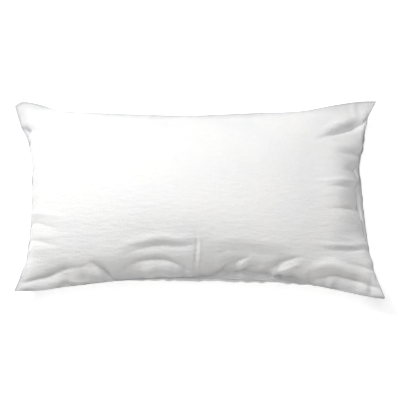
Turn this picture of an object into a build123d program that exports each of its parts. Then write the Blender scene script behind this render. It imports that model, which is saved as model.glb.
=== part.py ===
from build123d import *
import math
import os

# A king-size bed pillow, lying flat. Millimetres, +Z up, +X along its length, and the
# origin under its middle, on the surface that it rests on. Front is -Y and rear is +Y.
# Two panels of cotton ticking are sewn face to face along seams whose raw edges are
# overlocked, turned right side out, stuffed with loose polyester fibre through a gap
# in the rear seam, and topstitched shut there.

# Driving dimensions of the stuffed pillow, measured between the corners before they are
# rounded. The cover is 914 by 508 when it is sewn and still flat: stuffing draws it in.
LENGTH_AT_CORNERS = 904.0
LENGTH_AT_MIDDLE = 798.0
WIDTH_AT_CORNERS = 504.0
WIDTH_AT_MIDDLE = 416.0
CORNER_RADIUS = 9.0
SEAM_HEIGHT = 72.0  # the seams run level, this far above the resting face
CROWN = 112.0  # the middle of the pillow, above the seams
UNDERSIDE_DIP = 94.0  # how far the underside would hang below them if nothing held it up

# Fullness: a higher power is fuller near the seam, and steeper down to it
LENGTHWISE_POWER = 5.0
WIDTHWISE_POWER = 2.8

# Cloth, thread and fibre
TICKING = 0.8
SEAM_ALLOWANCE = 12.0  # the edge of each panel that is folded in at a seam
FOLD_PLAY = 0.2  # between the panel and its own allowance, at the fold
THREAD = 0.5
OVERLOCK = 2.4  # the loops of thread round both raw edges, as one round bead
SEAM_THREAD_INSET = 2.0  # from the folded edge to the line of the seam stitches
THREAD_PLAY = 0.1  # between a thread and the cloth beside it
FILL_PLAY = 0.5  # between the fibre and what is round it
THREAD_END = 22.0  # a seam's threads are cut off this far from the corner

# The stuffing gap in the rear seam, closed by a row of lockstitches
GAP_START = -338.0
GAP_END = -84.0
CLOSING_INSET = 3.0  # from the folded edge to the line of the closing stitches
STITCH_PITCH = 4.0
STITCH_LENGTH = 3.1

# How finely the curved panels are sampled, and how far they are drawn past the seams
LENGTHWISE_SAMPLES = 41
WIDTHWISE_SAMPLES = 29
OVERRUN = 1.02

HALF_GAP = THREAD / 2 + THREAD_PLAY  # from the seams' plane to either panel
UPPER_RIM = SEAM_HEIGHT + HALF_GAP
LOWER_RIM = SEAM_HEIGHT - HALF_GAP
FOLDED_EDGE = 2 * TICKING + FOLD_PLAY  # the panel at the fold, with its allowance
ABOVE_PILLOW = SEAM_HEIGHT + 2 * CROWN


def arc_radius(drawn_in, half_chord):
    """The radius of an edge whose middle is drawn in by drawn_in."""
    return (half_chord**2 + drawn_in**2) / (2 * drawn_in)


X_CORNER, X_MIDDLE = LENGTH_AT_CORNERS / 2, LENGTH_AT_MIDDLE / 2
Y_CORNER, Y_MIDDLE = WIDTH_AT_CORNERS / 2, WIDTH_AT_MIDDLE / 2
SHORT_SIDE_RADIUS = arc_radius(X_CORNER - X_MIDDLE, Y_CORNER)
LONG_SIDE_RADIUS = arc_radius(Y_CORNER - Y_MIDDLE, X_CORNER)

# Each side's turn about the origin, its distance from there, radius and half-length
SIDES = {
    "right": (0, X_MIDDLE, SHORT_SIDE_RADIUS, Y_CORNER),
    "rear": (90, Y_MIDDLE, LONG_SIDE_RADIUS, X_CORNER),
    "left": (180, X_MIDDLE, SHORT_SIDE_RADIUS, Y_CORNER),
    "front": (270, Y_MIDDLE, LONG_SIDE_RADIUS, X_CORNER),
}


def outline(inset=0.0):
    """The pillow's plan, or the part of it that lies more than inset inside the seams."""
    plan = Rectangle(LENGTH_AT_CORNERS, WIDTH_AT_CORNERS)
    for turn, distance, radius, _ in SIDES.values():
        plan -= Rot(0, 0, turn) * Pos(distance + radius, 0) * Circle(radius + inset)
    return fillet(plan.vertices(), CORNER_RADIUS)


def prism(bottom, top, inset=0.0):
    """A block with the pillow's plan."""
    return extrude(Pos(0, 0, bottom) * outline(inset), top - bottom)


def fullness(u, v):
    """1 in the middle of the pillow, 0 on the seams, and negative past them."""
    return (1 - abs(u) ** LENGTHWISE_POWER) * (1 - abs(v) ** WIDTHWISE_POWER)


def upper_height(u, v):
    return UPPER_RIM + FOLDED_EDGE + CROWN * fullness(u, v)


def lower_height(u, v):
    return LOWER_RIM - FOLDED_EDGE - UNDERSIDE_DIP * fullness(u, v)


def cloth_point(height, u, v):
    """A point of the cloth: u and v run from -1 to 1 between opposite seams."""
    x = u * (X_MIDDLE + (X_CORNER - X_MIDDLE) * v**2)
    y = v * (Y_MIDDLE + (Y_CORNER - Y_MIDDLE) * u**2)
    return Vector(x, y, height(u, v))


def cloth_directions(height, u, v):
    """The cloth's direction along X at (u, v), and its upward normal."""
    step = 1e-4
    along = cloth_point(height, u + step, v) - cloth_point(height, u - step, v)
    across = cloth_point(height, u, v + step) - cloth_point(height, u, v - step)
    return along.normalized(), along.cross(across).normalized()


def cloth_face(height, offset=0.0):
    """A panel's surface moved by offset along its upward normal, and run past the seams."""

    def across(index, samples):
        return OVERRUN * (2 * index / (samples - 1) - 1)

    rows = []
    for j in range(WIDTHWISE_SAMPLES):
        v = across(j, WIDTHWISE_SAMPLES)
        row = []
        for i in range(LENGTHWISE_SAMPLES):
            u = across(i, LENGTHWISE_SAMPLES)
            normal = cloth_directions(height, u, v)[1]
            row.append(cloth_point(height, u, v) + normal * offset)
        rows.append(row)
    return Face.make_surface_from_array_of_points(rows, tol=0.02, min_deg=3, max_deg=6)


def below(solid, face):
    """The piece of solid that lies under face."""
    return min(solid.split(face, keep=Keep.ALL), key=lambda piece: piece.center().Z)


def above(solid, face):
    """The piece of solid that lies over face."""
    return max(solid.split(face, keep=Keep.ALL), key=lambda piece: piece.center().Z)


def upper_panel():
    """A crowned shell of ticking, whose edge is folded in under it as the allowance."""
    outside = below(prism(UPPER_RIM, ABOVE_PILLOW), cloth_face(upper_height))
    inside = prism(UPPER_RIM + TICKING, ABOVE_PILLOW, TICKING)
    inside = below(inside, cloth_face(upper_height, -TICKING))
    window = prism(UPPER_RIM, UPPER_RIM + 2 * TICKING, SEAM_ALLOWANCE)
    return outside - inside - window


def lower_panel():
    """The same shell turned over, and pressed flat where the pillow rests."""
    outside = above(prism(0, LOWER_RIM), cloth_face(lower_height))
    inside = prism(TICKING, LOWER_RIM - TICKING, TICKING)
    inside = above(inside, cloth_face(lower_height, TICKING))
    window = prism(LOWER_RIM - 2 * TICKING, LOWER_RIM, SEAM_ALLOWANCE)
    return outside - inside - window


def fibre_fill():
    """The fibre, which fills the cover as far out as the overlocked raw edges."""
    clear = TICKING + FILL_PLAY
    block = prism(clear, ABOVE_PILLOW, SEAM_ALLOWANCE + OVERLOCK + 2 * FILL_PLAY)
    block = below(block, cloth_face(upper_height, -clear))
    return above(block, cloth_face(lower_height, clear))


def seam_run(side, inset, diameter, start, end):
    """A round thread in the seams' plane beside one side, from start to end along it."""
    turn, distance, radius, _ = SIDES[side]
    swing = radius + inset
    section = Plane.XZ * Pos(-swing, 0) * Circle(diameter / 2)
    arc = revolve(section, Axis.Z, math.degrees((end - start) / swing))
    arc = Rot(0, 0, -math.degrees(end / swing)) * arc
    return Rot(0, 0, turn) * Pos(distance + radius, 0, SEAM_HEIGHT) * arc


def seam_runs(side, inset, diameter):
    """One side's thread from corner to corner, broken at the stuffing gap."""
    reach = SIDES[side][3] - THREAD_END - inset
    spans = [(-reach, reach)]
    if side == "rear":
        spans = [(-reach, GAP_START), (GAP_END, reach)]
        # start and end run the way of the turn, so the rear side's run against X
        spans = [(-end, -start) for start, end in spans]
    return Compound([seam_run(side, inset, diameter, *span) for span in spans])


def closing_stitches(height, face_side):
    """The stitches of one closing thread, outside a panel: face_side is 1 on the upper one."""
    count = int((GAP_END - GAP_START) / STITCH_PITCH)
    stitches = []
    for i in range(count):
        u = (GAP_START + (i + 0.5) * STITCH_PITCH) / X_CORNER
        v = 1 - CLOSING_INSET / (Y_MIDDLE + (Y_CORNER - Y_MIDDLE) * u**2)
        along, normal = cloth_directions(height, u, v)
        lift = face_side * (THREAD / 2 + THREAD_PLAY)
        middle = cloth_point(height, u, v) + normal * lift
        stitches.append(Plane(middle, z_dir=along) * Cylinder(THREAD / 2, STITCH_LENGTH))
    return Compound(stitches)


def main():
    os.makedirs("parts", exist_ok=True)
    parts = {
        "upper_panel": upper_panel(),
        "lower_panel": lower_panel(),
        "fibre_fill": fibre_fill(),
        "closing_needle_thread": closing_stitches(upper_height, 1),
        "closing_bobbin_thread": closing_stitches(lower_height, -1),
    }
    for side in SIDES:
        parts[f"{side}_seam_thread"] = seam_runs(side, SEAM_THREAD_INSET, THREAD)
        overlock_inset = SEAM_ALLOWANCE + OVERLOCK / 2 + THREAD_PLAY
        parts[f"{side}_overlock_thread"] = seam_runs(side, overlock_inset, OVERLOCK)
    for name, shape in parts.items():
        export_step(shape, f"parts/{name}.step")


main()
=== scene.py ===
import math

import bmesh
import bpy
import numpy as np
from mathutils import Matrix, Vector


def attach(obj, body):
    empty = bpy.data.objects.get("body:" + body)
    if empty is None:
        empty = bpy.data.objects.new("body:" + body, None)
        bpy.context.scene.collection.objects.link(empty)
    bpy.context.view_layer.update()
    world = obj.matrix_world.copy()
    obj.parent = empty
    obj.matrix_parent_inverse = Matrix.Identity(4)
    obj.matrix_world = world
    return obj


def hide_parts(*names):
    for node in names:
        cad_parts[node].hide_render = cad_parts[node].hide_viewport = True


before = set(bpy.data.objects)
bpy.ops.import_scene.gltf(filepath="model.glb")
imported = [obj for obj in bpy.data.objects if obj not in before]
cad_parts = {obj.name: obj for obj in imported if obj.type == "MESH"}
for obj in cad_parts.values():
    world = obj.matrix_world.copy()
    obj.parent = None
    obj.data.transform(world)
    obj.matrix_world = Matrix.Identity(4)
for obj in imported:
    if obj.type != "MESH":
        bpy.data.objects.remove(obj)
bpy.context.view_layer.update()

# A king-size bed pillow, lying flat. Lengths are in metres, in the CAD model's frame,
# apart from the outline's and the folds' places, which are in millimetres.
# Two panels of white cotton ticking are sewn together flat, and Blender's Cloth blows
# them up while their seam is drawn in to its stuffed outline. The folds that are pressed
# or slept into the cloth are then added to the two panels. The seam allowances, the
# fibre and every thread are built from the same two panels, so they follow the seam.

MM = 0.001


# ---------------------------------------------------------------- curves, grids and meshes

def catmull_rom(before, start, end, after, t):
    """A point on the smooth curve from start, at t = 0, to end, at t = 1."""
    return 0.5 * (
        2 * start
        + (end - before) * t
        + (2 * before - 5 * start + 4 * end - after) * t**2
        + (3 * start - before - 3 * end + after) * t**3
    )


def distances_along(places):
    """How far along a run of places each of them is."""
    steps = np.linalg.norm(np.diff(places, axis=0), axis=1)
    return np.concatenate([[0], np.cumsum(steps)])


def interpolated(wanted, known, rows):
    """Places read off at the numbers wanted, where rows are the places at the known ones."""
    rows = np.array(rows)
    return np.stack([np.interp(wanted, known, rows[:, k]) for k in range(3)], axis=1)


STEPS_PER_SPAN = 40  # of a smooth curve, between two of its points


def evenly_along(points, count):
    """count places in metres, evenly spaced along a smooth curve through points in mm."""
    points = np.array(points, float) * MM
    first = 2 * points[0] - points[1]
    last = 2 * points[-1] - points[-2]
    padded = np.vstack([first, points, last])
    curve = []
    for k in range(len(points) - 1):
        for t in np.linspace(0, 1, STEPS_PER_SPAN, endpoint=False):
            curve.append(catmull_rom(*padded[k:k + 4], t))
    curve = np.array(curve + [points[-1]])
    travelled = distances_along(curve)
    wanted = np.linspace(0, travelled[-1], count)
    return interpolated(wanted, travelled, curve)


def unit(vectors):
    """The vectors, in rows or in a grid, at a length of 1."""
    return vectors / np.linalg.norm(vectors, axis=-1, keepdims=True)


def grid_quads(rows):
    """The quads between the corners of a grid of vertices."""
    return [
        [rows[j][i], rows[j][i + 1], rows[j + 1][i + 1], rows[j + 1][i]]
        for j in range(len(rows) - 1)
        for i in range(len(rows[0]) - 1)
    ]


def facing_quads(quads, facing):
    """Quads turned to face up, or down where facing is -1."""
    return quads if facing > 0 else [quad[::-1] for quad in quads]


def as_object(name, mesh):
    """A bmesh, which this uses up, as an object in the scene."""
    data = bpy.data.meshes.new(name)
    mesh.to_mesh(data)
    mesh.free()
    piece = bpy.data.objects.new(name, data)
    bpy.context.collection.objects.link(piece)
    return piece


def level_square(name, half_side):
    """A square at the floor's height, centred on the origin."""
    corners = [(-1, -1), (1, -1), (1, 1), (-1, 1)]
    data = bpy.data.meshes.new(name)
    data.from_pydata([(x * half_side, y * half_side, 0) for x, y in corners], [], [range(4)])
    piece = bpy.data.objects.new(name, data)
    bpy.context.collection.objects.link(piece)
    return piece


# ---------------------------------------------------------------- blowing up the cover

# The flat cover, as squares of cloth, and how finely the blown-up panels are redrawn
CLOTH_LENGTH = 0.926
CLOTH_WIDTH = 0.515
SQUARE = 0.009
COLUMNS = round(CLOTH_LENGTH / SQUARE)
ROWS = round(CLOTH_WIDTH / SQUARE)
REFINE = 3

# The blowing up
SEW_HEIGHT = 0.068  # of the flat cover above the floor, when the simulation starts
FIRST_PUFF = 0.02  # half the thickness that the flat cover starts with in its middle
FRAMES = 45
DRAWN_IN_BY = 20  # the frame at which the seam has reached its stuffed outline
SMOOTHINGS = 12  # passes that take out ripples as small as the squares
FLOOR_GAP = 0.002  # kept between the cloth and the floor while they collide

# The stuffed outline: places that each side's seam passes, in millimetres, from corner
# to corner. Front is -Y and rear is +Y.
REAR_LEFT = (-449, 236, 62)
REAR_RIGHT = (438, 246, 62)
FRONT_RIGHT = (446, -252, 52)
FRONT_LEFT = (-438, -234, 58)
SEAM_TARGETS = {
    "rear": [REAR_LEFT, (-433, 246, 62), (-405, 243, 64), (-372, 233, 66), (-340, 222, 68),
             (-270, 216, 70), (-108, 210, 70), (-20, 208, 70), (142, 215, 70),
             (250, 220, 68), (330, 236, 66), (393, 246, 62), REAR_RIGHT],
    "front": [FRONT_LEFT, (-377, -233, 60), (-305, -222, 60), (-162, -208, 66),
              (-19, -203, 66), (139, -209, 66), (253, -217, 62), (325, -230, 60),
              (410, -247, 55), FRONT_RIGHT],
    "left": [REAR_LEFT, (-433, 184, 64), (-410, 132, 66), (-401, 80, 68), (-401, -40, 68),
             (-404, -98, 66), (-412, -160, 60), (-425, -198, 60), FRONT_LEFT],
    "right": [REAR_RIGHT, (415, 197, 62), (403, 127, 68), (388, 78, 68), (395, 16, 68),
              (401, -39, 68), (405, -85, 66), (413, -148, 60), (426, -198, 58),
              FRONT_RIGHT],
}


def side_cells():
    """Each side's grid places (column, row), in the order of its targets."""
    return {
        "rear": [(i, ROWS) for i in range(COLUMNS + 1)],
        "front": [(i, 0) for i in range(COLUMNS + 1)],
        "left": [(0, j) for j in range(ROWS, -1, -1)],
        "right": [(COLUMNS, j) for j in range(ROWS, -1, -1)],
    }


def flat_cover():
    """The two panels sewn edge to edge and lying flat, as one closed mesh."""
    mesh = bmesh.new()

    def panel(direction, seam=None):
        """The upper panel, for 1, or the lower one, for -1, on the upper one's seam."""
        rows = []
        for j in range(ROWS + 1):
            row = []
            for i in range(COLUMNS + 1):
                on_seam = i in (0, COLUMNS) or j in (0, ROWS)
                if seam and on_seam:
                    row.append(seam[j][i])
                    continue
                u = 2 * i / COLUMNS - 1
                v = 2 * j / ROWS - 1
                puff = direction * FIRST_PUFF * (1 - u * u) * (1 - v * v)
                place = (u * CLOTH_LENGTH / 2, v * CLOTH_WIDTH / 2, SEW_HEIGHT + puff)
                row.append(mesh.verts.new(place))
            rows.append(row)
        for quad in facing_quads(grid_quads(rows), direction):
            mesh.faces.new(quad)
        return rows

    upper = panel(1)
    panel(-1, seam=upper)
    return as_object("sewn_cover", mesh)


def hold_seam(cover):
    """Pins the seam, and draws it in from its flat outline to its stuffed one."""
    cover.shape_key_add(name="flat")
    drawn_in = cover.shape_key_add(name="drawn_in")
    held = cover.vertex_groups.new(name="held")
    for side, cells in side_cells().items():
        targets = evenly_along(SEAM_TARGETS[side], len(cells))
        for k, (i, j) in enumerate(cells):
            vertex = j * (COLUMNS + 1) + i
            drawn_in.data[vertex].co = targets[k]
            held.add([vertex], 1.0, "REPLACE")
    drawn_in.value = 0.0
    drawn_in.keyframe_insert("value", frame=1)
    drawn_in.value = 1.0
    drawn_in.keyframe_insert("value", frame=DRAWN_IN_BY)


def collision_floor():
    """The floor that the cover rests on while it is blown up."""
    ground = level_square("sim_floor", 2.0)
    ground.modifiers.new("Collision", "COLLISION")
    ground.collision.thickness_outer = FLOOR_GAP
    ground.collision.cloth_friction = 20
    return ground


def make_cloth(cover):
    """Gives the cover a light, limp cloth's behaviour, and the pressure that fills it."""
    cloth = cover.modifiers.new("Cloth", "CLOTH")
    settings = cloth.settings
    settings.vertex_group_mass = "held"
    settings.pin_stiffness = 1.0
    settings.quality = 6
    settings.mass = 0.0005
    settings.tension_stiffness = 60.0
    settings.compression_stiffness = 20.0
    settings.shear_stiffness = 0.5
    settings.bending_stiffness = 0.3
    settings.bending_model = "ANGULAR"
    settings.tension_damping = 5.0
    settings.compression_damping = 5.0
    settings.shear_damping = 5.0
    settings.bending_damping = 0.5
    settings.air_damping = 1.0
    settings.use_pressure = True
    settings.uniform_pressure_force = 3.0
    cloth.collision_settings.distance_min = FLOOR_GAP
    cloth.collision_settings.use_self_collision = False
    cloth.point_cache.frame_start = 1
    cloth.point_cache.frame_end = FRAMES


def blow_up(cover):
    """Runs the cloth simulation, and returns where every vertex of the cover ends up."""
    make_cloth(cover)
    scene = bpy.context.scene
    scene.frame_start = 1
    scene.frame_end = FRAMES
    for frame_number in range(1, FRAMES + 1):
        scene.frame_set(frame_number)
    blown = cover.evaluated_get(bpy.context.evaluated_depsgraph_get()).data
    places = np.empty(len(blown.vertices) * 3)
    blown.vertices.foreach_get("co", places)
    return places.reshape(-1, 3)


def panels_from(places):
    """The upper and the lower panel as grids of places, [row, column], which share the seam."""
    count = (ROWS + 1) * (COLUMNS + 1)
    upper = places[:count].reshape(ROWS + 1, COLUMNS + 1, 3)
    lower = upper.copy()
    lower[1:-1, 1:-1] = places[count:].reshape(ROWS - 1, COLUMNS - 1, 3)
    return upper, lower


def simulated_panels():
    """The two panels after the simulation, standing on the floor."""
    cover = flat_cover()
    hold_seam(cover)
    ground = collision_floor()
    places = blow_up(cover)
    bpy.data.objects.remove(cover)
    bpy.data.objects.remove(ground)
    bpy.context.scene.frame_set(1)
    places[:, 2] -= places[:, 2].min()
    return panels_from(places)


def smoothed(grid):
    """A grid without its smallest ripples, and with its seam where it was."""
    grid = grid.copy()
    for _ in range(SMOOTHINGS):
        around = grid[:-2, 1:-1] + grid[2:, 1:-1] + grid[1:-1, :-2] + grid[1:-1, 2:]
        grid[1:-1, 1:-1] = (grid[1:-1, 1:-1] + around / 4) / 2
    return grid


def refined(grid, axis):
    """A grid with REFINE times as many squares along axis, on smooth curves through it."""
    grid = np.moveaxis(grid, axis, 0)
    padded = np.concatenate([2 * grid[:1] - grid[1:2], grid, 2 * grid[-1:] - grid[-2:-1]])
    between = [
        catmull_rom(padded[:-3], padded[1:-2], padded[2:-1], padded[3:], step / REFINE)
        for step in range(REFINE)
    ]
    fine = np.stack(between, axis=1).reshape(-1, *grid.shape[1:])
    fine = np.concatenate([fine, grid[-1:]])
    return np.moveaxis(fine, 0, axis)


# How much thinner the stuffing is at each side than in the middle, and how late it thins
THINNER = {"left": (0.2, 4.0), "right": (0.85, 7.0), "front": (0.1, 4.0), "rear": (0.1, 4.0)}


def settled(grid):
    """A panel that has sunk toward the sides, where the stuffing is thinner."""
    x, y = cloth_places(grid)
    u = 2 * x / CLOTH_LENGTH
    v = 2 * y / CLOTH_WIDTH
    above_seam = grid[:, :, 2] - SEW_HEIGHT
    for side, toward in (("left", -u), ("right", u), ("front", -v), ("rear", v)):
        amount, power = THINNER[side]
        above_seam = above_seam * (1 - amount * np.clip(toward, 0, 1) ** power)
    grid = grid.copy()
    grid[:, :, 2] = SEW_HEIGHT + above_seam
    return grid


def outward_normals(grid, facing):
    """The unit normals of a panel's grid, pointing out of the pillow: facing is 1 or -1."""
    return unit(facing * np.cross(np.gradient(grid, axis=1), np.gradient(grid, axis=0)))


# ---------------------------------------------------------------- folds in the cloth

# Folds of the upper panel. Each runs through places in plan, and has a half-width and a
# height, which is negative for a valley. All are in millimetres.
FOLDS = {
    "under the rear right ear": ([(282, 116), (335, 146), (385, 174), (455, 208)], 8, -15),
    "over the rear right ear": ([(300, 150), (345, 174), (398, 208)], 13, 6),
    "below the rear right ear": ([(318, 98), (350, 112), (440, 128)], 16, 5),
    "slope to the right side": ([(432, 190), (425, 110), (412, 20), (424, -90), (440, -170)],
                                38, -28),
    "broad ridge, right": ([(300, 170), (335, 90), (340, 0), (335, -90), (300, -160)], 42, 9),
    "broad ridge, front left": ([(-400, -110), (-340, -160), (-230, -172), (-120, -160)], 34, 6),
    "right pucker 1": ([(312, 80), (360, 94), (450, 108)], 6, -3.5),
    "right notch": ([(350, 50), (378, 57), (430, 62)], 9, -9),
    "right ridge 1": ([(270, 8), (342, 21), (440, 38)], 6, 4),
    "right pucker 2": ([(290, -6), (345, 6), (440, 22)], 5, -4),
    "right pucker 3": ([(300, -58), (355, -48), (450, -34)], 5, -5),
    "right ridge 2": ([(245, -142), (340, -136), (460, -122)], 5, 3),
    "right pucker 4": ([(280, -154), (355, -148), (460, -136)], 5, -4),
    "right pucker 5": ([(325, -170), (375, -180), (460, -200)], 5, -5),
    "left pucker 1": ([(-490, 182), (-394, 155), (-325, 128)], 8, -9),
    "left ridge 1": ([(-490, 200), (-400, 176), (-340, 154)], 9, 4),
    "left pucker 2": ([(-470, 142), (-380, 120), (-320, 100)], 7, -5),
    "left pucker 3": ([(-460, 66), (-390, 52), (-340, 44)], 6, -3),
    "left ridge 2": ([(-460, -40), (-365, -66), (-315, -84)], 8, 4),
    "left pucker 4": ([(-460, -66), (-370, -90), (-320, -108)], 7, -5),
    "left pucker 5": ([(-470, -108), (-375, -130), (-320, -146)], 7, -5),
    "front brow, left": ([(-200, -152), (-112, -128), (-52, -131), (16, -133)], 8, 4),
    "under the front brow, left": ([(-180, -164), (-105, -144), (-50, -147), (12, -149)], 9, -6),
    "front brow, right": ([(10, -134), (90, -138), (160, -140), (240, -144)], 10, 2),
    "under the front brow, right": ([(10, -158), (90, -162), (240, -166)], 15, -4),
    "packing crease": ([(-6, -108), (-6, -150), (-5, -175), (-4, -222)], 3, -3),
    "beside the packing crease": ([(3, -112), (3, -160), (4, -218)], 3, 1.6),
    "front fold 1": ([(-262, -168), (-225, -190), (-180, -218)], 7, -12),
    "front ridge 1": ([(-272, -186), (-235, -199), (-205, -207)], 9, 4),
    "front arc": ([(-195, -200), (-140, -176), (-95, -170), (-50, -178), (10, -204)], 5, -8),
    "under the front arc": ([(-160, -202), (-120, -190), (-80, -188), (-40, -197)], 8, 5),
    "front fold 2": ([(30, -214), (80, -187), (128, -173)], 6, -9),
    "front ridge 2": ([(78, -206), (105, -194), (135, -186)], 7, 4),
    "front fold 3": ([(88, -212), (130, -192), (165, -182)], 5, -7),
    "front fold 4": ([(140, -206), (195, -181), (250, -164)], 6, -8),
    "front ridge 3": ([(168, -209), (209, -191), (252, -177)], 4, 5),
    "over the front right ear": ([(255, -196), (318, -182), (368, -192), (440, -226)], 12, 9),
    "in the front right ear": ([(262, -220), (345, -208), (470, -246)], 8, -9),
    "above the front seam, right": ([(-20, -206), (60, -203), (160, -205), (330, -214)], 10, -11),
    "right of the packing crease": ([(20, -190), (100, -196), (170, -190)], 12, -4),
    "over the front left ear": ([(-450, -232), (-351, -205), (-310, -192), (-250, -174)], 8, -8),
    "front left hem": ([(-365, -221), (-292, -212), (-225, -206)], 5, 3),
    "under the closed gap": ([(-362, 200), (-296, 184), (-235, 173), (-163, 176), (-115, 190),
                              (-62, 208)], 4, -7),
}
FOLD_FADE = 0.004  # folds die out over this much of the cloth beside a seam
FOLD_SWAY = 0.004  # how far folds stray from smooth curves
FOLD_STEPS = 60  # places along a fold's curve
RIDGE_SHARPNESS = 2.0  # a smooth, round section
VALLEY_SHARPNESS = 1.3  # nearer to 1, which would be a knife-edged section
END_TAPER = 1.3  # a higher power keeps a fold to the middle of its curve
END_WIDTH = 0.6  # of a fold's half-width, at its two ends
MIDDLE_WIDTH = 1.1  # of a fold's half-width, at its middle
DEEPEST = 0.35  # of the pillow's thickness, at any place


def fold_relief(grid, points, half_width, height):
    """How far a fold lifts each place of a panel, along its normal."""
    line = evenly_along([(x, y, 0) for x, y in points], FOLD_STEPS)[:, :2]
    plan = grid[:, :, :2]
    sway = FOLD_SWAY * np.stack([wavy(plan[:, :, 1], 0.03, 41), wavy(plan[:, :, 0], 0.04, 42)], 2)
    distances = np.linalg.norm((plan + sway)[:, :, None] - line, axis=3)
    nearest = distances.min(axis=2)
    along = distances.argmin(axis=2) / (len(line) - 1)
    taper = np.sin(math.pi * along) ** END_TAPER
    width = half_width * MM * (END_WIDTH + (MIDDLE_WIDTH - END_WIDTH) * taper)
    sharpness = RIDGE_SHARPNESS if height > 0 else VALLEY_SHARPNESS
    return height * MM * taper * np.exp(-((nearest / width) ** sharpness))


def folds(upper, lower):
    """The relief of every fold together, as heights along the upper panel's normals."""
    relief = sum(fold_relief(upper, *fold) for fold in FOLDS.values())
    x, y = cloth_places(upper)
    from_seam = np.minimum(CLOTH_LENGTH / 2 - abs(x), CLOTH_WIDTH / 2 - abs(y))
    fade = np.clip(from_seam / FOLD_FADE, 0, 1)
    thickness = upper[:, :, 2] - lower[:, :, 2]
    return np.maximum(relief * fade, -DEEPEST * thickness)


def wavy(places, spacing, seed):
    """Uneven waves of about -1 to 1, with this spacing, for places no more than 1 m from 0."""
    random = np.random.default_rng(seed)
    count = int(2 / spacing) + 4
    knots = random.uniform(-1, 1, count)
    position = (places + 1) / spacing
    k = np.clip(position.astype(int), 1, count - 3)
    t = position - k
    return catmull_rom(knots[k - 1], knots[k], knots[k + 1], knots[k + 2], t)


def cloth_places(grid):
    """Each place's position on the flat cloth, from its middle, in metres."""
    rows, columns = grid.shape[:2]
    x = (np.arange(columns) / (columns - 1) - 0.5) * CLOTH_LENGTH
    y = (np.arange(rows) / (rows - 1) - 0.5) * CLOTH_WIDTH
    return np.meshgrid(x, y)


CRUMPLE_HEIGHT = 0.0024
CRUMPLE_START = 0.35  # of the way from the middle to a short side


def crumple(grid):
    """Fine creases that run in from the two short sides, and fade toward the middle."""
    x, y = cloth_places(grid)
    toward_side = np.clip(abs(x) / (CLOTH_LENGTH / 2) - CRUMPLE_START, 0, 1) ** 1.5
    drift = 0.006 * wavy(x, 0.09, 51) + 0.08 * x * y
    coarse = wavy(y + drift, 0.014, 52)
    fine = wavy(y - drift, 0.009, 53) * wavy(x, 0.04, 54)
    return CRUMPLE_HEIGHT * toward_side * (coarse + 0.6 * fine)


PUCKER_SPACING = 0.013
PUCKER_HEIGHTS = {"rear": 0.0011, "front": 0.0026, "right": 0.0016, "left": 0.0018}
PUCKER_REACH = 0.014  # from the seam to where the gathers are highest


def pucker(grid, seed):
    """The small gathers that the seam stitches pull up, as heights along the normals."""
    x, y = cloth_places(grid)
    relief = np.zeros_like(x)
    sides = {
        "rear": (x, CLOTH_WIDTH / 2 - y),
        "front": (x, CLOTH_WIDTH / 2 + y),
        "right": (y, CLOTH_LENGTH / 2 - x),
        "left": (y, CLOTH_LENGTH / 2 + x),
    }
    for n, (side, (along, from_side)) in enumerate(sides.items()):
        rise = from_side / PUCKER_REACH * np.exp(1 - from_side / PUCKER_REACH)
        relief += PUCKER_HEIGHTS[side] * rise * wavy(along, PUCKER_SPACING, seed + n)
    return relief


def pressed_in(grid, facing, relief):
    """A panel with relief added to it, outward."""
    return grid + outward_normals(grid, facing) * relief[:, :, None]


# ---------------------------------------------------------------- the seam, all round

ALLOWANCE_SQUARES = 4  # fine squares, of 3 mm, that the seam allowance covers
CLOTH = 0.0004  # the ticking's thickness
HEM_BULGE = 0.0009  # how far the folded cloth stands out from the seam
UV_CREEP = 0.002  # how far the allowance's weave runs on past the seam, at each ring


def perimeter(rows, columns):
    """The grid places round the seam, counter-clockwise from the front left corner."""
    return (
        [(0, i) for i in range(columns - 1)]
        + [(j, columns - 1) for j in range(rows - 1)]
        + [(rows - 1, i) for i in range(columns - 1, 0, -1)]
        + [(j, 0) for j in range(rows - 1, 0, -1)]
    )


class Seam:
    """The seam all round: its places, and a way in between the two panels at each one."""

    def __init__(self, upper, lower):
        self.upper, self.lower = upper, lower
        self.rows, self.columns = upper.shape[:2]
        self.cells = perimeter(self.rows, self.columns)
        self.places = np.array([upper[cell] for cell in self.cells])
        self.middle = [self.between(k) for k in range(ALLOWANCE_SQUARES + 1)]
        tangent = np.roll(self.places, -1, axis=0) - np.roll(self.places, 1, axis=0)
        self.out = unit(self.places - self.middle[2])
        self.up = unit(np.cross(self.out, tangent))

    def between(self, squares):
        """The places midway between the panels, this many squares in from the seam."""
        found = []
        for j, i in self.cells:
            j_in = min(max(j, squares), self.rows - 1 - squares)
            i_in = min(max(i, squares), self.columns - 1 - squares)
            found.append((self.upper[j_in, i_in] + self.lower[j_in, i_in]) / 2)
        return np.array(found)

    def side(self, name):
        """The positions in cells of one side's places, in their order round the seam."""
        wanted = {
            "front": lambda j, i: j == 0,
            "rear": lambda j, i: j == self.rows - 1,
            "left": lambda j, i: i == 0,
            "right": lambda j, i: i == self.columns - 1,
        }[name]
        found = [k for k, cell in enumerate(self.cells) if wanted(*cell)]
        if name == "left":
            # This side ends at the front left corner, which is where cells starts
            found = found[1:] + found[:1]
        return found


def allowance_rings(seam, lift):
    """Rings of places that carry a panel round the seam's fold, and in as its allowance."""
    return [
        seam.places + seam.out * (HEM_BULGE - 0.2 * MM) + lift * 0.9 * CLOTH,
        seam.places + seam.out * HEM_BULGE + lift * 0.5 * CLOTH,
        seam.middle[1] + lift * CLOTH / 2,
        seam.middle[2] + lift * CLOTH,
        seam.middle[ALLOWANCE_SQUARES] + lift * 1.5 * CLOTH,
    ]


def ring_quads(outer, inner):
    """The quads of the band between two closed rings of vertices."""
    count = len(inner)
    return [
        [outer[k], inner[k], inner[(k + 1) % count], outer[(k + 1) % count]]
        for k in range(count)
    ]


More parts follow.
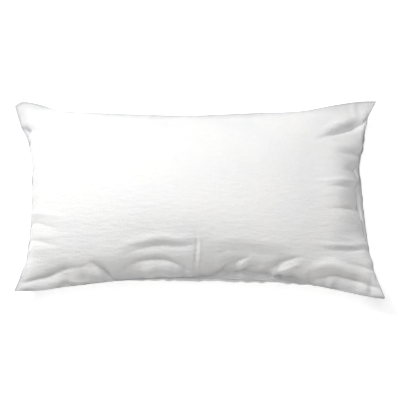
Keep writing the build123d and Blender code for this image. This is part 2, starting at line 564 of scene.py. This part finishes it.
def panel_piece(name, grid, seam, facing):
    """One panel of ticking: its face, the fold at the seam, and the allowance inside."""
    x, y = cloth_places(grid)
    lift = facing * seam.up
    places = grid.copy()
    for cell, up in zip(seam.cells, lift):
        places[cell] = grid[cell] + up * CLOTH
    mesh = bmesh.new()
    on_cloth = {}

    def add(place, cell, stretch=1.0):
        vertex = mesh.verts.new(place)
        on_cloth[vertex] = (x[cell] * stretch, y[cell] * stretch)
        return vertex

    rows, columns = grid.shape[:2]
    face = [[add(places[j, i], (j, i)) for i in range(columns)] for j in range(rows)]
    quads = grid_quads(face)
    outer = [face[j][i] for j, i in seam.cells]
    for step, ring in enumerate(allowance_rings(seam, lift), 1):
        stretch = 1 + step * UV_CREEP
        inner = [add(place, cell, stretch) for place, cell in zip(ring, seam.cells)]
        quads += ring_quads(outer, inner)
        outer = inner
    layer = mesh.loops.layers.uv.new("cloth")
    for quad in facing_quads(quads, facing):
        made = mesh.faces.new(quad)
        made.smooth = True
        for loop in made.loops:
            loop[layer].uv = on_cloth[loop.vert]
    bmesh.ops.remove_doubles(mesh, verts=list(mesh.verts), dist=1e-6)
    piece = as_object(name, mesh)
    thickness = piece.modifiers.new("Cloth thickness", "SOLIDIFY")
    thickness.thickness = CLOTH
    thickness.offset = -1
    return piece


# ---------------------------------------------------------------- the filling

FILL_INSET = 2  # coarse squares, of 9 mm, from the seam to the edge of the fibre
FILL_CLEAR = 0.0025  # from the cloth to the fibre
LUMP_HEIGHT = 0.0008


def fill_piece(upper, lower):
    """The stuffing: the space in the cover, a little smaller, with an uneven, lumpy face."""
    upper, lower = upper[::REFINE, ::REFINE], lower[::REFINE, ::REFINE]
    x, y = cloth_places(upper)
    lumps = LUMP_HEIGHT * (1 + wavy(x, 0.021, 31) * wavy(y, 0.017, 32))
    inside = slice(FILL_INSET, -FILL_INSET)
    top = pressed_in(upper, 1, -(FILL_CLEAR + lumps))[inside, inside]
    bottom = pressed_in(lower, -1, -(FILL_CLEAR + lumps))[inside, inside]
    rows, columns = top.shape[:2]
    edge = (top + bottom) / 2
    mesh = bmesh.new()
    shared = {cell: mesh.verts.new(edge[cell]) for cell in perimeter(rows, columns)}
    for grid, facing in ((top, 1), (bottom, -1)):
        made = [[shared.get((j, i)) or mesh.verts.new(grid[j, i]) for i in range(columns)]
                for j in range(rows)]
        for quad in facing_quads(grid_quads(made), facing):
            mesh.faces.new(quad).smooth = True
    return as_object("fibre_filling", mesh)


# ---------------------------------------------------------------- threads

GAP_START = -0.338  # the stuffing gap in the rear seam runs from this X to GAP_END
GAP_END = -0.084
SEAM_STITCH = 0.003
SEAM_THREAD_INSET = 0.65  # fine squares from the folded edge to the seam stitches
SEAM_THREAD_RADIUS = 0.0002
SEAM_DIP = 0.00015  # how far the seam thread swings above and below the seam
OVERLOCK_PITCH = 0.0035
OVERLOCK_RADIUS = 0.00015
OVERLOCK_HEIGHT = 0.0011  # half the height of a loop round the two raw edges
OVERHANG = 0.12  # of a loop's depth, past the raw edges
CLOSING_SQUARES = 1.2  # fine squares from the seam to the closing stitches
CLOSING_PITCH = 0.004
CLOSING_STITCH = 0.0031
CLOSING_RADIUS = 0.00028


def tube(name, runs, radius, sides):
    """A thread as one mesh of round tubes, one along each run of places."""
    angles = [2 * math.pi * k / sides for k in range(sides)]
    mesh = bmesh.new()
    for run in runs:
        run = np.array(run)
        tangents = unit(np.gradient(run, axis=0))
        across = unit(np.cross(tangents, (0.0, 0.0, 1.0)))
        up = np.cross(across, tangents)
        rings = []
        for place, a, b in zip(run, across, up):
            round_it = [a * math.cos(angle) + b * math.sin(angle) for angle in angles]
            rings.append([mesh.verts.new(place + radius * spoke) for spoke in round_it])
        for before, after in zip(rings, rings[1:]):
            for k in range(sides):
                n = (k + 1) % sides
                mesh.faces.new([before[k], before[n], after[n], after[k]]).smooth = True
        mesh.faces.new(rings[0][::-1])
        mesh.faces.new(rings[-1])
    bmesh.ops.recalc_face_normals(mesh, faces=list(mesh.faces))
    return as_object(name, mesh)


def along_run(places, spacing):
    """A run of places redrawn at an even spacing, and how far along each new place is."""
    travelled = distances_along(places)
    wanted = np.arange(0, travelled[-1], spacing)
    return interpolated(wanted, travelled, places), wanted


def side_runs(seam, name, values):
    """One side's values from corner to corner, broken at the stuffing gap."""
    cells = seam.side(name)[2:-2]
    if name != "rear":
        return [[values[k] for k in cells]]
    x = [seam.places[k][0] for k in cells]
    return [
        [values[k] for k, at in zip(cells, x) if at > GAP_END],
        [values[k] for k, at in zip(cells, x) if at < GAP_START],
    ]


def seam_thread(seam, name):
    """The lockstitches that hold one side's seam, as a thread that waves up and down."""
    line = seam.places * (1 - SEAM_THREAD_INSET) + seam.middle[1] * SEAM_THREAD_INSET
    runs = []
    for run in side_runs(seam, name, line):
        drawn, distance = along_run(run, SEAM_STITCH / 4)
        drawn[:, 2] += SEAM_DIP * np.sin(2 * math.pi * distance / SEAM_STITCH)
        runs.append(drawn)
    return tube(f"{name}_seam_stitches", runs, SEAM_THREAD_RADIUS, sides=5)


def overlock_thread(seam, name):
    """The loops of overlock stitches that wrap round one side's raw edges."""
    nearer = seam.middle[3]
    farther = seam.middle[ALLOWANCE_SQUARES] * (1 + OVERHANG) - nearer * OVERHANG
    all_runs = [side_runs(seam, name, values) for values in (nearer, farther, seam.up)]
    runs = []
    for near, far, up in zip(*all_runs):
        inner, distance = along_run(near, OVERLOCK_PITCH / 8)
        share = np.linspace(0, 1, len(inner))
        marks = np.linspace(0, 1, len(far))
        outer = interpolated(share, marks, far)
        height = interpolated(share, marks, up) * OVERLOCK_HEIGHT
        turn = (2 * math.pi * distance / OVERLOCK_PITCH)[:, None]
        centre = (inner + outer) / 2
        runs.append(centre + (outer - inner) / 2 * np.cos(turn) + height * np.sin(turn))
    return tube(f"{name}_overlock_stitches", runs, OVERLOCK_RADIUS, sides=4)


def closing_stitches(name, grid, facing):
    """The row of stitches that closes the stuffing gap, as it shows on one panel."""
    whole = int(CLOSING_SQUARES)
    part = CLOSING_SQUARES - whole
    lifted = grid + outward_normals(grid, facing) * CLOSING_RADIUS
    row = lifted[-1 - whole] * (1 - part) + lifted[-2 - whole] * part
    row = row[(row[:, 0] > GAP_START) & (row[:, 0] < GAP_END)]
    drawn, distance = along_run(row, CLOSING_PITCH / 8)
    runs = []
    for start in np.arange(0, distance[-1] - CLOSING_PITCH, CLOSING_PITCH):
        runs.append(drawn[(distance >= start) & (distance <= start + CLOSING_STITCH)])
    return tube(name, runs, CLOSING_RADIUS, sides=6)


# ---------------------------------------------------------------- materials

class Nodes:
    """A material's node tree, with a short way to add and join nodes."""

    def __init__(self, name):
        self.material = bpy.data.materials.new(name)
        self.material.use_nodes = True
        self.tree = self.material.node_tree
        self.shader = self.tree.nodes["Principled BSDF"]

    def add(self, kind, inputs=(), **settings):
        """A new node. Each input is either a socket to link to it, or its constant."""
        node = self.tree.nodes.new(kind)
        for key, value in settings.items():
            setattr(node, key, value)
        for socket, value in dict(inputs).items():
            if isinstance(value, bpy.types.NodeSocket):
                self.tree.links.new(value, node.inputs[socket])
            else:
                node.inputs[socket].default_value = value
        return node

    def math(self, operation, *values):
        """The result of one operation on numbers or sockets."""
        return self.add("ShaderNodeMath", dict(enumerate(values)), operation=operation).outputs[0]

    def noise(self, vector, scale, detail=2.0, stretch=(1, 1, 1)):
        """Noise between 0 and 1, which is finer along an axis that stretch is larger on."""
        mapped = self.add("ShaderNodeMapping", {"Vector": vector, "Scale": stretch})
        inputs = {"Vector": mapped.outputs[0], "Scale": scale, "Detail": detail}
        return self.add("ShaderNodeTexNoise", inputs).outputs["Fac"]

    def ramp(self, factor, first, last, low=0.3, high=0.7):
        """A colour that goes from first, where factor is low, to last, where it is high."""
        node = self.add("ShaderNodeValToRGB", {"Fac": factor})
        node.color_ramp.elements[0].position = low
        node.color_ramp.elements[0].color = (*first, 1)
        node.color_ramp.elements[1].position = high
        node.color_ramp.elements[1].color = (*last, 1)
        return node.outputs["Color"]

    def multiplied(self, first, second):
        """The product of two colours."""
        node = self.add("ShaderNodeMix", data_type="RGBA", blend_type="MULTIPLY")
        node.inputs[0].default_value = 1.0
        self.tree.links.new(first, node.inputs[6])
        self.tree.links.new(second, node.inputs[7])
        return node.outputs[2]

    def from_seam(self, cloth):
        """How far a place on the flat cloth is from the nearest seam."""
        parts = self.add("ShaderNodeSeparateXYZ", {"Vector": cloth}).outputs
        across = self.math("SUBTRACT", CLOTH_LENGTH / 2, self.math("ABSOLUTE", parts["X"]))
        along = self.math("SUBTRACT", CLOTH_WIDTH / 2, self.math("ABSOLUTE", parts["Y"]))
        return self.math("MINIMUM", across, along)

    def bump(self, height, distance, strength, below=None):
        """The normal that a height gives, on top of the normal that is below it."""
        inputs = {"Height": height, "Distance": distance, "Strength": strength}
        if below is not None:
            inputs["Normal"] = below
        return self.add("ShaderNodeBump", inputs).outputs["Normal"]

    def set(self, **values):
        """Sets the shader's own sockets, whose names have spaces where these have _."""
        for name, value in values.items():
            self.shader.inputs[name.replace("_", " ")].default_value = value

    def link(self, socket, output):
        self.tree.links.new(output, self.shader.inputs[socket])


THREADS_PER_METRE = 1900
WAVES_PER_SCALE = 20 / (2 * math.pi)  # a wave texture's bands in a metre, at a scale of 1


def plain_weave(made, cloth):
    """The height of threads that pass over and under each other in turn."""
    scale = THREADS_PER_METRE / 2 / WAVES_PER_SCALE
    warp = made.add("ShaderNodeTexWave", {"Vector": cloth, "Scale": scale}, bands_direction="X")
    weft = made.add("ShaderNodeTexWave", {"Vector": cloth, "Scale": scale}, bands_direction="Y")
    crossing = made.add("ShaderNodeTexChecker", {"Vector": cloth, "Scale": THREADS_PER_METRE})
    return made.add("ShaderNodeMix", {
        "Factor": crossing.outputs["Fac"],
        "A": warp.outputs["Fac"],
        "B": weft.outputs["Fac"],
    }).outputs[0]


def ticking():
    """White cotton in a fine plain weave, with uneven yarns and a slight crinkle."""
    made = Nodes("white_cotton_ticking")
    cloth = made.add("ShaderNodeUVMap", uv_map="cloth").outputs["UV"]
    slub_x = made.noise(cloth, 1.0, 3.0, stretch=(25, 700, 1))
    slub_y = made.noise(cloth, 1.0, 3.0, stretch=(700, 25, 1))
    slubs = made.math("ADD", slub_x, slub_y)
    crinkle = made.noise(cloth, 170.0, 5.0)
    patches = made.noise(cloth, 9.0, 2.0)
    rumple = made.noise(cloth, 1.0, 4.0, stretch=(38, 110, 1))
    normal = made.bump(rumple, 0.006, 0.28)
    normal = made.bump(crinkle, 0.0016, 0.55, below=normal)
    normal = made.bump(slubs, 0.0004, 0.5, below=normal)
    normal = made.bump(plain_weave(made, cloth), 0.00006, 0.35, below=normal)
    made.link("Normal", normal)

    # Painted shade: the cloth is painted greyer toward the seams, and darkest in a painted shadow
    # line along the folded edge
    tint = made.ramp(patches, (0.850, 0.853, 0.860), (0.868, 0.864, 0.850))
    yarn = made.ramp(slubs, (0.965, 0.965, 0.965), (1.0, 1.0, 1.0), low=0.75, high=1.2)
    from_seam = made.from_seam(cloth)
    # Painted shade, greyer over the last few centimetres toward each seam
    painted_seam_shade = made.ramp(from_seam, (0.80, 0.80, 0.81), (1, 1, 1), low=0.004, high=0.045)
    # A narrower, darker painted shadow line right along the folded edge of the seam
    hem = made.ramp(from_seam, (0.72, 0.72, 0.74), (1, 1, 1), low=0.001, high=0.006)
    colour = made.multiplied(made.multiplied(tint, yarn), made.multiplied(painted_seam_shade, hem))
    made.link("Base Color", colour)
    roughness = {"Value": crinkle, "To Min": 0.78, "To Max": 0.92}
    made.link("Roughness", made.add("ShaderNodeMapRange", roughness).outputs[0])
    made.set(Sheen_Weight=0.12, Sheen_Roughness=0.6, Specular_IOR_Level=0.25)
    return made.material


def thread():
    """White spun thread, with the slanting ridges of its two plies."""
    made = Nodes("white_sewing_thread")
    place = made.add("ShaderNodeTexCoord").outputs["Object"]
    waves = {"Vector": place, "Scale": 260.0, "Distortion": 2.0}
    plies = made.add("ShaderNodeTexWave", waves, bands_direction="DIAGONAL").outputs["Fac"]
    made.link("Normal", made.bump(plies, 0.00008, 0.6))
    # Painted shade: the thread is painted darker in the grooves between its plies, where the bump
    # sinks
    made.link("Base Color", made.ramp(plies, (0.80, 0.80, 0.79), (0.88, 0.88, 0.87)))
    made.set(Roughness=0.7, Sheen_Weight=0.1, Specular_IOR_Level=0.3)
    return made.material


def fibre():
    """Loose white polyester fibre: soft, bright and tangled."""
    made = Nodes("white_polyester_fibre")
    place = made.add("ShaderNodeTexCoord").outputs["Object"]
    tufts = made.noise(place, 60.0, 6.0)
    strands = made.noise(place, 1.0, 6.0, stretch=(900, 250, 250))
    normal = made.bump(tufts, 0.003, 0.6)
    made.link("Normal", made.bump(strands, 0.0006, 0.5, below=normal))
    # Painted shade: the fibre is painted darker in the hollows between its tufts, where the bump
    # sinks
    made.link("Base Color", made.ramp(tufts, (0.86, 0.86, 0.85), (0.93, 0.93, 0.92)))
    made.set(Roughness=0.95, Sheen_Weight=0.3, Subsurface_Weight=0.2, Subsurface_Scale=0.01)
    return made.material


def pale_floor():
    """A matt floor that glows a little, so that the pillow's shadow on it is faint."""
    made = Nodes("pale_floor")
    made.set(Base_Color=(0.8, 0.8, 0.8, 1), Roughness=1.0, Specular_IOR_Level=0.0,
             Emission_Color=(1, 1, 1, 1), Emission_Strength=0.56)
    return made.material


# ---------------------------------------------------------------- the studio

def floor_piece():
    """The floor, wide enough to reach the horizon of a low view."""
    piece = level_square("floor", 30.0)
    piece.data.materials.append(pale_floor())


def aimed(thing, place, target):
    """Puts a light or a camera at a place, and turns it toward its target."""
    thing.location = place
    thing.rotation_euler = (Vector(target) - Vector(place)).to_track_quat("-Z", "Y").to_euler()
    bpy.context.collection.objects.link(thing)


PILLOW_MIDDLE = (0, 0, 0.07)


def area_light(name, place, power, size, colour=(1, 1, 1)):
    """A square light of this power in watts, aimed at the pillow."""
    light = bpy.data.lights.new(name, "AREA")
    light.energy = power
    light.size = size
    light.color = colour
    aimed(bpy.data.objects.new(name, light), place, PILLOW_MIDDLE)


AIM = Vector((0.0055, -0.009, 0.068))
CAMERA_DISTANCE = 5.0
CAMERA_ELEVATION = math.radians(72)
VIEW_WIDTH = 0.968  # what the picture's width spans at AIM
SENSOR_WIDTH = 36  # millimetres


def camera():
    """The camera, in front of the pillow and high above it."""
    made = bpy.data.cameras.new("camera")
    made.sensor_width = SENSOR_WIDTH
    made.lens = SENSOR_WIDTH * CAMERA_DISTANCE / VIEW_WIDTH
    piece = bpy.data.objects.new("camera", made)
    back = Vector((0, -math.cos(CAMERA_ELEVATION), math.sin(CAMERA_ELEVATION)))
    aimed(piece, AIM + back * CAMERA_DISTANCE, AIM)
    bpy.context.scene.camera = piece


def studio():
    """The floor, a key light from the rear left with soft light round it, and the camera."""
    floor_piece()
    area_light("key", (-1.35, 1.15, 2.4), 62, 0.7)
    area_light("overhead", (0.0, 0.0, 3.0), 42, 2.0)
    area_light("warm bounce", (0.3, -2.6, 1.0), 2.5, 1.5, (1.0, 0.93, 0.80))
    area_light("cool bounce", (2.7, 0.3, 0.9), 2.5, 1.5, (0.88, 0.80, 1.0))
    world = bpy.data.worlds.new("studio")
    world.use_nodes = True
    background = world.node_tree.nodes["Background"]
    background.inputs["Color"].default_value = (1, 0.99, 0.97, 1)
    background.inputs["Strength"].default_value = 0.04
    bpy.context.scene.world = world
    bpy.context.scene.view_settings.view_transform = "Standard"
    camera()


# ---------------------------------------------------------------- putting it together

def finish_piece(piece, material, slot, *nodes):
    """Dresses a piece, hangs it on the root body, and hides the CAD nodes that it stands for."""
    piece.data.materials.append(material)
    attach(piece, "root")
    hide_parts(*nodes)


def main():
    """Builds the pillow's pieces and the studio round them."""
    upper, lower = simulated_panels()
    upper = settled(refined(refined(smoothed(upper), 0), 1))
    lower = refined(refined(smoothed(lower), 0), 1)
    upper = pressed_in(upper, 1, pucker(upper, 11) + crumple(upper) + folds(upper, lower))
    lower = pressed_in(lower, -1, pucker(lower, 21))
    seam = Seam(upper, lower)

    cotton = ticking()
    for name, grid, facing in (("upper", upper, 1), ("lower", lower, -1)):
        piece = panel_piece(f"{name}_ticking", grid, seam, facing)
        finish_piece(piece, cotton, "ticking", f"{name}_panel")
    filling = fill_piece(upper, lower)
    finish_piece(filling, fibre(), "fibre", "fibre_fill")
    white_thread = thread()
    for side in ("left", "right", "front", "rear"):
        stitches = seam_thread(seam, side)
        finish_piece(stitches, white_thread, "sewing_thread", f"{side}_seam_thread")
        loops = overlock_thread(seam, side)
        finish_piece(loops, white_thread, "sewing_thread", f"{side}_overlock_thread")
    needle = closing_stitches("closing_stitches_above", upper, 1)
    finish_piece(needle, white_thread, "sewing_thread", "closing_needle_thread")
    bobbin = closing_stitches("closing_stitches_below", lower, -1)
    finish_piece(bobbin, white_thread, "sewing_thread", "closing_bobbin_thread")
    studio()


main()
